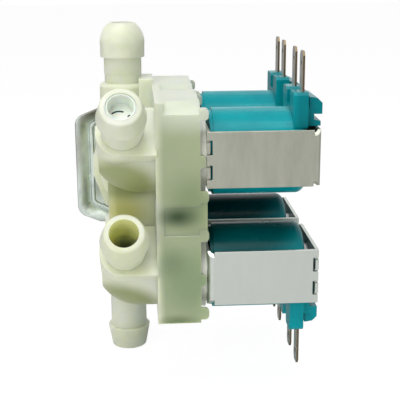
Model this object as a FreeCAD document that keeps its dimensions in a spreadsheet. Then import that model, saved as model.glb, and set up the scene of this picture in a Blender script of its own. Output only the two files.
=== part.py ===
import FreeCAD, Part
import math
import os
import Sketcher
from FreeCAD import Placement, Rotation, Vector

# Washing machine inlet valve with four solenoids on one moulded manifold.
# Origin: centre of the inlet, on the back face of the mounting bracket.
# +X points along the solenoids, +Y out of the inlet, away from the valves, and +Z up.
# Lengths are in millimetres and angles in degrees.

doc = FreeCAD.newDocument("inlet_valve")
sheet = doc.addObject("Spreadsheet::Sheet", "Sizes")
sheet_rows = []


class Size:
    """A named size, or a sum or share of sizes, with the text that a property is bound to."""

    def __init__(self, text, value):
        self.text = text
        self.value = value

    def __add__(self, other):
        return Size(f"({self.text} + {text_of(other)})", self.value + value_of(other))

    def __radd__(self, other):
        return Size(f"({text_of(other)} + {self.text})", value_of(other) + self.value)

    def __sub__(self, other):
        return Size(f"({self.text} - {text_of(other)})", self.value - value_of(other))

    def __rsub__(self, other):
        return Size(f"({text_of(other)} - {self.text})", value_of(other) - self.value)

    def __mul__(self, factor):
        return Size(f"({self.text} * {factor})", self.value * factor)

    __rmul__ = __mul__

    def __truediv__(self, factor):
        return Size(f"({self.text} / {factor})", self.value / factor)

    def __neg__(self):
        return Size(f"(0 - {self.text})", -self.value)


def text_of(value):
    return value.text if isinstance(value, Size) else repr(float(value))


def value_of(value):
    return value.value if isinstance(value, Size) else float(value)


def size(name, value):
    """Writes one driving size into the sheet and gives it back by its name."""
    sheet_rows.append(name)
    row = len(sheet_rows)
    sheet.set(f"A{row}", name)
    sheet.set(f"B{row}", str(value))
    sheet.setAlias(f"B{row}", name)
    return Size(f"Sizes.{name}", float(value))


def place(thing, x=0, y=0, z=0, axis=(1, 0, 0), turn=0):
    """Moves a thing to a point that the sizes give, turned about one axis."""
    rotation = Rotation(Vector(*axis), value_of(turn))
    thing.Placement = Placement(Vector(value_of(x), value_of(y), value_of(z)), rotation)
    for letter, value in (("x", x), ("y", y), ("z", z)):
        if isinstance(value, Size):
            thing.setExpression(f"Placement.Base.{letter}", value.text)
    if isinstance(turn, Size):
        thing.setExpression("Placement.Rotation.Angle", turn.text)
    return thing


def new_body(name):
    body = doc.addObject("PartDesign::Body", name)
    body.Label = name
    return body


def plane_of(body, role):
    return next(item for item in body.Origin.OriginFeatures if item.Role == role)


def sketch_on(body, name, role, offset=0):
    """An empty sketch on one of the body's own planes, or at a distance in front of it."""
    sketch = body.newObject("Sketcher::SketchObject", name)
    sketch.AttachmentSupport = (plane_of(body, role), [""])
    sketch.MapMode = "FlatFace"
    if isinstance(offset, Size) or offset:
        sketch.AttachmentOffset = Placement(Vector(0, 0, value_of(offset)), Rotation())
        sketch.setExpression("AttachmentOffset.Base.z", text_of(offset))
    return sketch


def pin_down(sketch, kind, geometry, vertex, value):
    """Holds a point of the sketch at a distance from its origin, across or up."""
    if not isinstance(value, Size) and value == 0:
        line = -2 if kind == "DistanceX" else -1
        sketch.addConstraint(Sketcher.Constraint("PointOnObject", geometry, vertex, line))
        return
    number = sketch.addConstraint(
        Sketcher.Constraint(kind, -1, 1, geometry, vertex, value_of(value)))
    if isinstance(value, Size):
        name = f"{kind[-1].lower()}{number}"
        sketch.renameConstraint(number, name)
        sketch.setExpression(f"Constraints.{name}", value.text)


def outline(sketch, path):
    """A closed outline. Each corner is (across, up), or (across, up, radius) where an arc ends.

    A positive radius bends the arc anticlockwise and a negative one clockwise.
    """
    first = sketch.GeometryCount
    ends = []
    count = len(path)
    for index, corner in enumerate(path):
        before = path[index - 1]
        x0, y0 = value_of(before[0]), value_of(before[1])
        x1, y1 = value_of(corner[0]), value_of(corner[1])
        if len(corner) == 2:
            sketch.addGeometry(Part.LineSegment(Vector(x0, y0, 0), Vector(x1, y1, 0)), False)
            ends.append((1, 2))
            continue
        radius = value_of(corner[2])
        half = math.hypot(x1 - x0, y1 - y0) / 2
        rise = math.copysign(math.sqrt(max(radius * radius - half * half, 0)), radius)
        cx = (x0 + x1) / 2 - (y1 - y0) / (2 * half) * rise
        cy = (y0 + y1) / 2 + (x1 - x0) / (2 * half) * rise
        start = math.atan2(y0 - cy, x0 - cx)
        stop = math.atan2(y1 - cy, x1 - cx)
        if radius < 0:
            start, stop = stop, start
        circle = Part.Circle(Vector(cx, cy, 0), Vector(0, 0, 1), abs(radius))
        sketch.addGeometry(Part.ArcOfCircle(circle, start, stop), False)
        ends.append((1, 2) if radius > 0 else (2, 1))
    for index, corner in enumerate(path):
        here = first + index
        after = first + (index + 1) % count
        stop = ends[index][1]
        start = ends[(index + 1) % count][0]
        sketch.addConstraint(Sketcher.Constraint("Coincident", here, stop, after, start))
        pin_down(sketch, "DistanceX", here, stop, corner[0])
        pin_down(sketch, "DistanceY", here, stop, corner[1])
        if len(corner) == 3:
            radius = corner[2] if value_of(corner[2]) > 0 else -corner[2]
            number = sketch.addConstraint(
                Sketcher.Constraint("Radius", here, value_of(radius)))
            if isinstance(radius, Size):
                sketch.renameConstraint(number, f"bend{number}")
                sketch.setExpression(f"Constraints.bend{number}", radius.text)
    return sketch


def circle(sketch, x, y, radius):
    number = sketch.addGeometry(
        Part.Circle(Vector(value_of(x), value_of(y), 0), Vector(0, 0, 1), value_of(radius)), False)
    pin_down(sketch, "DistanceX", number, 3, x)
    pin_down(sketch, "DistanceY", number, 3, y)
    held = sketch.addConstraint(Sketcher.Constraint("Radius", number, value_of(radius)))
    if isinstance(radius, Size):
        sketch.renameConstraint(held, f"round{held}")
        sketch.setExpression(f"Constraints.round{held}", radius.text)
    return sketch


def rectangle(sketch, x0, y0, x1, y1):
    return outline(sketch, [(x0, y0), (x1, y0), (x1, y1), (x0, y1)])


def pad(body, name, sketch, length, both=False, back=False):
    feature = body.newObject("PartDesign::Pad", name)
    feature.Profile = sketch
    feature.setExpression("Length", text_of(length))
    feature.SideType = "Symmetric" if both else "One side"
    feature.Reversed = back
    return feature


def pocket(body, name, sketch, length=None, both=False, back=False):
    """A cut that has to take something away, through the whole body where no length is given."""
    doc.recompute()
    before = body.Shape.Volume
    feature = body.newObject("PartDesign::Pocket", name)
    feature.Profile = sketch
    if length is None:
        feature.Type = "ThroughAll"
    else:
        feature.setExpression("Length", text_of(length))
    feature.SideType = "Symmetric" if both else "One side"
    feature.Reversed = back
    doc.recompute()
    if body.Shape.Volume > before - 1e-6:
        raise RuntimeError(f"{name} takes nothing away")
    return feature


def turned(body, name, path, role="XZ_Plane", axis="H_Axis"):
    """A round form: the outline is (along, out) and turns about the body's X axis, or another that is named."""
    sketch = outline(sketch_on(body, name + "_outline", role), path)
    feature = body.newObject("PartDesign::Revolution", name)
    feature.Profile = sketch
    feature.ReferenceAxis = (sketch, [axis])
    feature.Angle = 360
    return feature


def standing(body, name, path):
    """A round form: the outline is (out, up) and turns about the body's Z axis."""
    return turned(body, name, path, "XZ_Plane", "V_Axis")


def through_inlet(body, name, path):
    """A round form: the outline is (along, out) and turns about the inlet's Y axis."""
    return turned(body, name, path, "YZ_Plane", "H_Axis")


def joined(name, shapes):
    fuse = doc.addObject("Part::MultiFuse", name)
    fuse.Shapes = shapes
    fuse.Refine = True
    return fuse


nodes = []


def keep(thing, name):
    thing.Label = name
    nodes.append(thing)
    return thing


# The four solenoids stand in a square of two by two.
coil_pitch_y = size("coil_pitch_y", 42.1)
coil_pitch_z = size("coil_pitch_z", 43.2)
cluster_back = size("cluster_back", 61.0)
front_y = -cluster_back - coil_pitch_y / 2
rear_y = -cluster_back + coil_pitch_y / 2
upper_z = coil_pitch_z / 2
lower_z = -coil_pitch_z / 2

# The outlets: which way each points, and how far its pad, step and mouth stand from the axis.
outlet_x = size("outlet_x", -1.5)
front_outlet_tilt = size("front_outlet_tilt", 52.0)
front_pad_reach = size("front_pad_reach", 16.0)
front_step_reach = size("front_step_reach", 26.0)
front_mouth_reach = size("front_mouth_reach", 33.5)
upright_pad_reach = size("upright_pad_reach", 22.0)
upright_step_reach = size("upright_step_reach", 30.1)
upright_land = size("upright_land", 4.3)
upright_mouth_reach = size("upright_mouth_reach", 43.4)
hanging_step_reach = size("hanging_step_reach", 39.4)
hanging_mouth_reach = size("hanging_mouth_reach", 48.4)

valves = {
    "upper_front": (front_y, upper_z, 0),
    "upper_back": (rear_y, upper_z, 0),
    "lower_front": (front_y, lower_z, 180),
    "lower_back": (rear_y, lower_z, 180),
}

# Moulded manifold: a plate carries four chamber housings on the right and four bosses on the left.
plate_left = size("plate_left", 9.8)
plate_thickness = size("plate_thickness", 2.8)
housing_length = size("housing_length", 12.7)
housing_half_width = size("housing_half_width", 17.0)
housing_above = size("housing_above", 20.1)
housing_below = size("housing_below", 16.5)
housing_chamfer = size("housing_chamfer", 4.0)
housing_left = plate_left + plate_thickness
housing_right = housing_left + housing_length

plate = doc.addObject("Part::Box", "manifold_plate")
plate.setExpression("Length", plate_thickness.text)
plate.setExpression("Width", (coil_pitch_y + housing_half_width * 2).text)
plate.setExpression("Height", (coil_pitch_z + housing_above + housing_below).text)
place(plate, plate_left, front_y - housing_half_width, lower_z - housing_below)

# Each boss is a cup that narrows to a rounded heel behind its outlet.
boss_radius = size("boss_radius", 14.3)
boss_shoulder = size("boss_shoulder", 4.6)
heel_radius = size("heel_radius", 7.2)
heel_left = size("heel_left", -10.2)
heel_round = size("heel_round", 17.0)
overlap = size("overlap", 0.4)

# Chamber, ring channel and seat tube of one valve, all about its axis.
chamber_radius = size("chamber_radius", 14.2)
chamber_depth = size("chamber_depth", 11.3)
chamber_floor = housing_right - chamber_depth
channel_radius = size("channel_radius", 12.5)
channel_left = size("channel_left", 5.0)
seat_tube_radius = size("seat_tube_radius", 7.0)
seat_bore_radius = size("seat_bore_radius", 5.6)
seat_rise = size("seat_rise", 1.2)
seat_tip = chamber_floor + seat_rise

# Clip lugs hold the bonnet on the front and back edges of each housing.
lug_height = size("lug_height", 4.4)
lug_depth = size("lug_depth", 1.5)
lug_gap = size("lug_gap", 0.1)
lug_reach = size("lug_reach", 2.9)
lug_round = size("lug_round", 1.6)
middle_lug_reach = size("middle_lug_reach", 2.0)
upper_lug_drop = size("upper_lug_drop", 4.0)
middle_lug_rise = size("middle_lug_rise", -0.5)
lower_lug_lift = size("lower_lug_lift", 3.4)
upper_lug_rise = housing_above - upper_lug_drop
lower_lug_rise = lower_lug_lift - housing_below

added = [plate]
removed = []
for name, (y, z, turn) in valves.items():
    housing = place(new_body(f"{name}_housing"), 0, y, z)
    w = housing_half_width
    section = outline(sketch_on(housing, f"{name}_housing_section", "YZ_Plane", housing_left - overlap), [
        (-w, -housing_below),
        (w, -housing_below),
        (w, housing_above),
        (-w + housing_chamfer, housing_above),
        (-w, housing_above - housing_chamfer)])
    pad(housing, f"{name}_housing_pad", section, housing_length + overlap)
    added.append(housing)

    boss = place(new_body(f"{name}_boss"), 0, y, z)
    turned(boss, f"{name}_boss_turn", [
        (plate_left + overlap, 0),
        (plate_left + overlap, boss_radius),
        (boss_shoulder, boss_radius),
        (heel_left, heel_radius, heel_round),
        (heel_left, 0)])
    added.append(boss)

    lugs = place(new_body(f"{name}_lugs"), 0, y, z)
    rises = ((upper_lug_rise, lug_reach), (middle_lug_rise, middle_lug_reach), (lower_lug_rise, lug_reach))
    sketch = sketch_on(lugs, f"{name}_lug_section", "XZ_Plane")
    for rise, reach in rises:
        outline(sketch, [
            (housing_right - overlap, rise - lug_height / 2),
            (housing_right + reach - lug_round, rise - lug_height / 2),
            (housing_right + reach, rise - lug_height / 2 + lug_round, lug_round),
            (housing_right + reach, rise + lug_height / 2 - lug_round),
            (housing_right + reach - lug_round, rise + lug_height / 2, lug_round),
            (housing_right - overlap, rise + lug_height / 2)])
    pad(lugs, f"{name}_lug_pad", sketch, housing_half_width * 2, both=True)
    between = sketch_on(lugs, f"{name}_lug_gap", "XZ_Plane")
    rectangle(between, housing_right - overlap * 2, -housing_above * 2,
              housing_right + lug_reach * 2, housing_above * 2)
    pocket(lugs, f"{name}_lug_split", between, (housing_half_width - lug_depth) * 2, both=True)
    added.append(lugs)

    hollow = place(new_body(f"{name}_chamber"), 0, y, z)
    turned(hollow, f"{name}_chamber_turn", [
        (housing_right + overlap, 0),
        (housing_right + overlap, chamber_radius),
        (chamber_floor, chamber_radius),
        (chamber_floor, channel_radius),
        (channel_left, channel_radius),
        (channel_left, seat_tube_radius),
        (seat_tip, seat_tube_radius),
        (seat_tip, seat_bore_radius),
        (outlet_x - seat_bore_radius, seat_bore_radius),
        (outlet_x - seat_bore_radius, 0)])
    removed.append(hollow)

# Outlets, each drawn upright about its own axis and then turned to where it points.
pad_radius = size("pad_radius", 9.3)
neck_radius = size("neck_radius", 7.4)
barb_radius = size("barb_radius", 8.7)
barb_end_radius = size("barb_end_radius", 7.05)
barb_end_round = size("barb_end_round", 0.9)
outlet_bore_radius = size("outlet_bore_radius", 5.2)
nose_bore_radius = size("nose_bore_radius", 4.2)
nose_flat_radius = size("nose_flat_radius", 5.0)
nose_round = size("nose_round", 9.6)
restrictor_seat_reach = size("restrictor_seat_reach", 24.0)
restrictor_seat_radius = size("restrictor_seat_radius", 4.2)


def tapered_barb(step, mouth):
    return [
        (0, 0),
        (neck_radius, 0),
        (neck_radius, step),
        (barb_radius, step),
        (barb_end_radius + barb_end_round * 0.2, mouth - barb_end_round),
        (barb_end_radius - barb_end_round * 0.8, mouth, barb_end_round),
        (0, mouth)]


nose_barb = [
    (0, 0),
    (neck_radius, 0),
    (neck_radius, upright_step_reach),
    (barb_radius, upright_step_reach),
    (barb_radius, upright_step_reach + upright_land),
    (nose_flat_radius, upright_mouth_reach, nose_round),
    (0, upright_mouth_reach)]


def outlet(name, y, z, turn, pad_reach, barb, bore):
    """A D-shaped pad, a neck and a barb, with the bore that goes to the seat."""
    stem = new_body(f"{name}_outlet_stem")
    standing(stem, f"{name}_outlet_turn", barb)
    block = doc.addObject("Part::Box", f"{name}_outlet_block")
    block.setExpression("Length", (plate_left + overlap - outlet_x).text)
    block.setExpression("Width", (pad_radius * 2).text)
    block.setExpression("Height", pad_reach.text)
    place(block, 0, -pad_radius, 0)
    disc = doc.addObject("Part::Cylinder", f"{name}_outlet_disc")
    disc.setExpression("Radius", pad_radius.text)
    disc.setExpression("Height", pad_reach.text)
    added.append(place(joined(f"{name}_outlet", [stem, block, disc]), outlet_x, y, z, turn=turn))
    hole = place(new_body(f"{name}_outlet_bore"), outlet_x, y, z, turn=turn)
    standing(hole, f"{name}_bore_turn", bore)
    removed.append(hole)


def plain_bore(mouth, radius):
    return [(0, 0), (radius, 0), (radius, mouth + overlap), (0, mouth + overlap)]


stepped_bore = [
    (0, 0),
    (restrictor_seat_radius, 0),
    (restrictor_seat_radius, restrictor_seat_reach),
    (outlet_bore_radius, restrictor_seat_reach),
    (outlet_bore_radius, front_mouth_reach + overlap),
    (0, front_mouth_reach + overlap)]
outlet("upper_front", front_y, upper_z, front_outlet_tilt, front_pad_reach,
       tapered_barb(front_step_reach, front_mouth_reach), stepped_bore)
outlet("lower_front", front_y, lower_z, front_outlet_tilt, front_pad_reach,
       tapered_barb(front_step_reach, front_mouth_reach),
       plain_bore(front_mouth_reach, outlet_bore_radius))
outlet("upper_back", rear_y, upper_z, 0, upright_pad_reach,
       nose_barb, plain_bore(upright_mouth_reach, nose_bore_radius))
outlet("lower_back", rear_y, lower_z, 180, upright_pad_reach,
       tapered_barb(hanging_step_reach, hanging_mouth_reach),
       plain_bore(hanging_mouth_reach, outlet_bore_radius))

# The central block feeds the four ring channels from the inlet.
block_left = size("block_left", -7.5)
block_front = size("block_front", 19.0)
block_back = size("block_back", 33.0)
block_round = size("block_round", 3.0)
feed_half = size("feed_half", 14.0)
feed_left = size("feed_left", 3.5)
feed_right = size("feed_right", 11.6)
feed_bore_radius = size("feed_bore_radius", 6.0)
trunk = new_body("feed_block")
x0 = block_left
x1 = plate_left + overlap
y0 = -cluster_back - block_front
y1 = -cluster_back + block_back
section = outline(sketch_on(trunk, "feed_block_section", "XY_Plane"), [
    (x0 + block_round, y0, block_round),
    (x1, y0),
    (x1, y1),
    (x0 + block_round, y1),
    (x0, y1 - block_round, block_round),
    (x0, y0 + block_round)])
pad(trunk, "feed_block_pad", section, coil_pitch_z, both=True)
added.append(trunk)
feed = doc.addObject("Part::Box", "feed_hollow")
feed.setExpression("Length", (feed_right - feed_left).text)
feed.setExpression("Width", (feed_half * 2).text)
feed.setExpression("Height", (feed_half * 2).text)
place(feed, feed_left, -cluster_back - feed_half, -feed_half)
removed.append(feed)

# Inlet: neck, six-sided flange on the bracket and the spigot whose wall is the thread's root.
bracket_sheet = size("bracket_sheet", 1.2)
flange_thickness = size("flange_thickness", 4.0)
flange_half_width = size("flange_half_width", 16.3)
flange_half_end = size("flange_half_end", 11.0)
flange_shoulder = size("flange_shoulder", 4.0)
flange_half_height = size("flange_half_height", 18.5)
neck_outer = size("neck_outer", 11.6)
thread_root = size("thread_root", 12.05)
thread_collar = size("thread_collar", 13.2)
collar_length = size("collar_length", 1.6)
spigot_length = size("spigot_length", 14.0)
spigot_chamfer = size("spigot_chamfer", 0.8)
inlet_radius = size("inlet_radius", 10.0)
inlet_step = size("inlet_step", 8.0)
body_screw_rise = size("body_screw_rise", 15.6)
screw_shank = size("screw_shank", 1.9)
screw_gap = size("screw_gap", 0.08)

flange_back = -bracket_sheet
flange_front = -bracket_sheet - flange_thickness
flange = new_body("inlet_flange")
half = [(flange_half_width, -flange_shoulder), (flange_half_width, flange_shoulder),
        (flange_half_end, flange_half_height)]
path = half + [(-x, y) for x, y in reversed(half)] + [(-flange_half_end, -flange_half_height),
                                                      (flange_half_end, -flange_half_height)]
section = outline(sketch_on(flange, "flange_section", "XZ_Plane", -flange_back), path)
pad(flange, "flange_pad", section, flange_thickness)
ears = sketch_on(flange, "flange_screw_holes", "XZ_Plane", -flange_back)
circle(ears, 0, body_screw_rise, screw_shank + screw_gap)
circle(ears, 0, -body_screw_rise, screw_shank + screw_gap)
pocket(flange, "flange_screw_pocket", ears, back=False, both=True)
added.append(flange)

spigot = new_body("inlet_spigot")
spigot_start = -cluster_back + block_back - overlap
through_inlet(spigot, "spigot_turn", [
    (spigot_start, 0),
    (spigot_length, 0),
    (spigot_length, thread_root - spigot_chamfer),
    (spigot_length - spigot_chamfer, thread_root),
    (collar_length, thread_root),
    (collar_length, thread_collar),
    (flange_back - overlap, thread_collar),
    (flange_back - overlap, neck_outer),
    (spigot_start, neck_outer)])
added.append(spigot)

bore = new_body("inlet_bore")
through_inlet(bore, "inlet_bore_turn", [
    (-cluster_back - feed_half, 0),
    (spigot_length + overlap, 0),
    (spigot_length + overlap, inlet_radius),
    (-inlet_step, inlet_radius),
    (-inlet_step, feed_bore_radius),
    (-cluster_back - feed_half, feed_bore_radius)])
removed.append(bore)

manifold = doc.addObject("Part::Cut", "valve_body_cut")
manifold.Base = joined("manifold_solid", added)
manifold.Tool = joined("manifold_hollows", removed)
manifold.Refine = True
keep(manifold, "valve_body")

# Mounting bracket: a pressed square dish, open towards the valves, with its bottom on the machine's panel.
rim_half_width = size("rim_half_width", 23.8)
rim_half_height = size("rim_half_height", 24.65)
floor_half_width = size("floor_half_width", 18.2)
floor_half_height = size("floor_half_height", 19.9)
dish_depth = size("dish_depth", 6.0)
rim_corner = size("rim_corner", 8.5)
floor_corner = size("floor_corner", 5.5)
bracket_hole_gap = size("bracket_hole_gap", 0.15)
panel_hole_x = size("panel_hole_x", 13.4)
panel_hole_z = size("panel_hole_z", 14.6)
panel_hole_radius = size("panel_hole_radius", 1.75)


def rounded_square(sketch, half_width, half_height, corner):
    w, v, r = half_width, half_height, corner
    return outline(sketch, [
        (w, -v + r, r),
        (w, v - r),
        (w - r, v, r),
        (-w + r, v),
        (-w, v - r, r),
        (-w, -v + r),
        (-w + r, -v, r),
        (w - r, -v)])


bracket = new_body("bracket")
outer_floor = rounded_square(sketch_on(bracket, "dish_floor_outline", "XZ_Plane"),
                             floor_half_width, floor_half_height, floor_corner)
outer_rim = rounded_square(sketch_on(bracket, "dish_rim_outline", "XZ_Plane", dish_depth),
                           rim_half_width, rim_half_height, rim_corner)
dish = bracket.newObject("PartDesign::AdditiveLoft", "dish_form")
dish.Profile = outer_floor
dish.Sections = [outer_rim]
dish.Ruled = True
inner_floor = rounded_square(sketch_on(bracket, "dish_inside_outline", "XZ_Plane", bracket_sheet),
                             floor_half_width, floor_half_height, floor_corner)
inner_rim = rounded_square(sketch_on(bracket, "dish_mouth_outline", "XZ_Plane", dish_depth + bracket_sheet),
                           rim_half_width, rim_half_height, rim_corner)
inside = bracket.newObject("PartDesign::SubtractiveLoft", "dish_hollow")
inside.Profile = inner_floor
inside.Sections = [inner_rim]
inside.Ruled = True
holes = sketch_on(bracket, "bracket_holes", "XZ_Plane")
circle(holes, 0, 0, thread_collar + bracket_hole_gap)
circle(holes, 0, body_screw_rise, screw_shank + screw_gap)
circle(holes, 0, -body_screw_rise, screw_shank + screw_gap)
circle(holes, -panel_hole_x, panel_hole_z, panel_hole_radius)
circle(holes, panel_hole_x, -panel_hole_z, panel_hole_radius)
pocket(bracket, "bracket_hole_pocket", holes, both=True)
keep(place(bracket), "mounting_bracket")

# Two pan-head screws hold the flange to the bracket.
screw_head_radius = size("screw_head_radius", 3.3)
screw_head_height = size("screw_head_height", 2.2)
screw_tip_back = size("screw_tip_back", 0.1)
screw_recess = size("screw_recess", 1.2)
screw_slot = size("screw_slot", 0.8)
screws = new_body("screws")
heads = sketch_on(screws, "screw_heads", "XZ_Plane", -flange_front)
circle(heads, 0, body_screw_rise, screw_head_radius)
circle(heads, 0, -body_screw_rise, screw_head_radius)
screws.AllowCompound = True
pad(screws, "screw_head_pad", heads, screw_head_height)
shanks = sketch_on(screws, "screw_shanks", "XZ_Plane", -flange_front)
circle(shanks, 0, body_screw_rise, screw_shank)
circle(shanks, 0, -body_screw_rise, screw_shank)
pad(screws, "screw_shank_pad", shanks, flange_thickness + bracket_sheet - screw_tip_back, back=True)
slots = sketch_on(screws, "screw_slots", "XZ_Plane", -flange_front + screw_head_height)
for side in (1, -1):
    z = body_screw_rise * side
    rectangle(slots, -screw_head_radius * 0.6, z - screw_slot / 2,
              screw_head_radius * 0.6, z + screw_slot / 2)
pocket(screws, "screw_slot_pocket", slots, screw_recess)
keep(screws, "bracket_screws")

# Inlet strainer: a cup with long windows, its rim near the mouth of the spigot.
strainer_rim_radius = size("strainer_rim_radius", 9.9)
strainer_radius = size("strainer_radius", 8.4)
strainer_wall = size("strainer_wall", 0.8)
strainer_rim_back = size("strainer_rim_back", 10.6)
strainer_rim_depth = size("strainer_rim_depth", 1.4)
strainer_depth = size("strainer_depth", 9.4)
window_width = size("window_width", 3.6)
window_end_margin = size("window_end_margin", 1.2)
window_count = 8
strainer = new_body("strainer")
back = strainer_rim_back
front = strainer_rim_back - strainer_depth
turned(strainer, "strainer_turn", [
    (back, strainer_rim_radius),
    (back, strainer_radius - strainer_wall),
    (front + strainer_wall, strainer_radius - strainer_wall),
    (front + strainer_wall, 0),
    (front, 0),
    (front, strainer_radius),
    (back - strainer_rim_depth, strainer_radius),
    (back - strainer_rim_depth, strainer_rim_radius)])
window = sketch_on(strainer, "strainer_window", "XY_Plane")
rectangle(window, front + strainer_wall + window_end_margin, -window_width / 2,
          back - strainer_rim_depth - window_end_margin, window_width / 2)
cut = pocket(strainer, "strainer_window_pocket", window, strainer_rim_radius * 2, back=True)
ring = strainer.newObject("PartDesign::PolarPattern", "strainer_windows")
ring.Originals = [cut]
ring.Axis = (window, ["H_Axis"])
ring.Angle = 360
ring.Occurrences = window_count
strainer.Tip = ring
keep(place(strainer, axis=(0, 0, 1), turn=90), "inlet_strainer")

# The flow washer lies in its cage against the step of the inlet.
cage_radius = size("cage_radius", 9.9)
cage_length = size("cage_length", 7.0)
cage_wall = size("cage_wall", 1.2)
cage_floor = size("cage_floor", 1.6)
cage_opening = size("cage_opening", 3.4)
washer_length = size("washer_length", 4.0)
washer_opening = size("washer_opening", 2.4)
washer_dish = size("washer_dish", 0.9)
washer_gap = size("washer_gap", 0.05)
cage = new_body("cage")
turned(cage, "cage_turn", [
    (-inlet_step, cage_opening),
    (-inlet_step, cage_radius),
    (-inlet_step + cage_length, cage_radius),
    (-inlet_step + cage_length, cage_radius - cage_wall),
    (-inlet_step + cage_floor, cage_radius - cage_wall),
    (-inlet_step + cage_floor, cage_opening)])
keep(place(cage, axis=(0, 0, 1), turn=90), "flow_washer_cage")
washer = new_body("washer")
seat = -inlet_step + cage_floor
turned(washer, "washer_turn", [
    (seat, washer_opening),
    (seat, cage_radius - cage_wall - washer_gap),
    (seat + washer_length, cage_radius - cage_wall - washer_gap),
    (seat + washer_length - washer_dish, washer_opening)])
keep(place(washer, axis=(0, 0, 1), turn=90), "flow_washer")

# Outlet restrictor: a disc with a curved slit and a small round hole, pressed into one outlet.
restrictor_thickness = size("restrictor_thickness", 1.8)
restrictor_gap = size("restrictor_gap", 0.05)
slit_length = size("slit_length", 3.6)
slit_width = size("slit_width", 0.7)
dot_radius = size("dot_radius", 0.7)
dot_offset = size("dot_offset", 3.0)
restrictor = new_body("restrictor")
disc = sketch_on(restrictor, "restrictor_disc", "XY_Plane", restrictor_seat_reach)
circle(disc, 0, 0, outlet_bore_radius - restrictor_gap)
pad(restrictor, "restrictor_pad", disc, restrictor_thickness)
ways = sketch_on(restrictor, "restrictor_ways", "XY_Plane", restrictor_seat_reach)
rectangle(ways, -slit_length / 2 - slit_width, slit_width * 2, slit_length / 2 - slit_width, slit_width * 3)
circle(ways, dot_offset, -dot_radius, dot_radius)
pocket(restrictor, "restrictor_pocket", ways, both=True)
keep(place(restrictor, outlet_x, front_y, upper_z, turn=front_outlet_tilt), "outlet_restrictor")

# Solenoid: the steel yoke's strip, its bend at one end and the closing plate at the other.
bonnet_flange = size("bonnet_flange", 2.2)
yoke_left = housing_right + bonnet_flange
yoke_length = size("yoke_length", 40.0)
yoke_width = size("yoke_width", 34.1)
yoke_height = size("yoke_height", 20.0)
yoke_sheet = size("yoke_sheet", 1.2)
yoke_bend = size("yoke_bend", 2.6)
yoke_corner = size("yoke_corner", 2.0)
tab_rise = size("tab_rise", 4.4)
tab_height = size("tab_height", 3.8)
tab_proud = size("tab_proud", 0.3)
notch_height = size("notch_height", 5.2)
notch_depth = size("notch_depth", 2.0)
plate_gap = size("plate_gap", 0.05)
yoke_right = yoke_left + yoke_length

# Guide tube of the bonnet, and the plunger that slides in it.
tube_radius = size("tube_radius", 5.5)
tube_wall = size("tube_wall", 0.8)
tube_short = size("tube_short", 9.5)
tube_end = yoke_right - tube_short
tube_cap = size("tube_cap", 1.4)
tube_gap = size("tube_gap", 0.3)
bonnet_plug_gap = size("bonnet_plug_gap", 0.15)
bonnet_rim_width = size("bonnet_rim_width", 3.4)
bonnet_roof_depth = size("bonnet_roof_depth", 1.7)
bonnet_roof = housing_right - bonnet_roof_depth
bonnet_flange_radius = housing_half_width - lug_depth - lug_gap
running_gap = size("running_gap", 0.3)
tip_seat_gap = size("tip_seat_gap", 0.1)
plunger_length = size("plunger_length", 25.0)
spring_wire = size("spring_wire", 0.5)
spring_radius = size("spring_radius", 3.0)
spring_turns = size("spring_turns", 6.0)

# Diaphragm and the hard insert on its back.
diaphragm_rim = size("diaphragm_rim", 2.4)
diaphragm_rim_width = size("diaphragm_rim_width", 1.9)
diaphragm_web = size("diaphragm_web", 0.8)
diaphragm_gap = size("diaphragm_gap", 0.1)
insert_radius = size("insert_radius", 9.4)
insert_thickness = size("insert_thickness", 1.2)
pilot_radius = size("pilot_radius", 2.0)
pilot_hole = size("pilot_hole", 0.6)
pilot_rise = size("pilot_rise", 1.2)
tip_radius = size("tip_radius", 2.4)
tip_proud = size("tip_proud", 0.2)
tip_depth = size("tip_depth", 2.4)
tip_gap = size("tip_gap", 0.05)

# Moulded coil with its terminal block and the winding inside.
coil_near_gap = size("coil_near_gap", 0.4)
coil_far_gap = size("coil_far_gap", 2.8)
coil_side_gap = size("coil_side_gap", 0.15)
coil_left = yoke_left + yoke_sheet + coil_near_gap
coil_right = yoke_right - yoke_sheet - coil_far_gap
coil_radius = yoke_width / 2 - yoke_sheet - coil_side_gap
coil_round = size("coil_round", 3.0)
coil_left_step = size("coil_left_step", 1.2)
coil_left_inset = size("coil_left_inset", 0.9)
bushing_wall = size("bushing_wall", 1.4)
bushing_gap = size("bushing_gap", 0.1)
bobbin_wall = size("bobbin_wall", 1.3)
coil_wall = size("coil_wall", 2.5)
coil_bore = tube_radius + bushing_gap * 2 + bushing_wall
winding_inner = coil_bore + bobbin_wall
winding_outer = coil_radius - coil_wall
winding_margin = size("winding_margin", 2.6)
winding_gap = size("winding_gap", 0.1)
bushing_length = size("bushing_length", 10.0)
terminal_pitch = size("terminal_pitch", 15.85)
blade_width = size("blade_width", 6.3)
blade_thickness = size("blade_thickness", 0.8)
blade_inset = size("blade_inset", 5.9)
blade_cover = size("blade_cover", 1.0)
blade_x = yoke_right - blade_inset
blade_root = winding_outer + blade_cover
blade_shoulder = size("blade_shoulder", 34.9)
blade_tip = size("blade_tip", 36.5)
blade_tip_half = size("blade_tip_half", 1.9)
blade_hole_rise = size("blade_hole_rise", 32.2)
blade_hole_radius = size("blade_hole_radius", 0.85)
blade_gap = size("blade_gap", 0.05)
tower_start = size("tower_start", 9.3)
tower_stop = size("tower_stop", 4.2)
tower_left = yoke_right - tower_start
tower_right = yoke_right - tower_stop
tower_top = size("tower_top", 22.4)
tower_width = size("tower_width", 9.2)
tower_chamfer = size("tower_chamfer", 1.0)
apron_stop = size("apron_stop", 1.6)
apron_right = yoke_right - apron_stop
apron_top = size("apron_top", 20.4)
web_stop = size("web_stop", 3.3)
web_right = yoke_right - web_stop
web_top = size("web_top", 17.0)
hook_proud = size("hook_proud", 1.3)
hook_right = yoke_right + hook_proud
hook_top = size("hook_top", 20.0)
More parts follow.
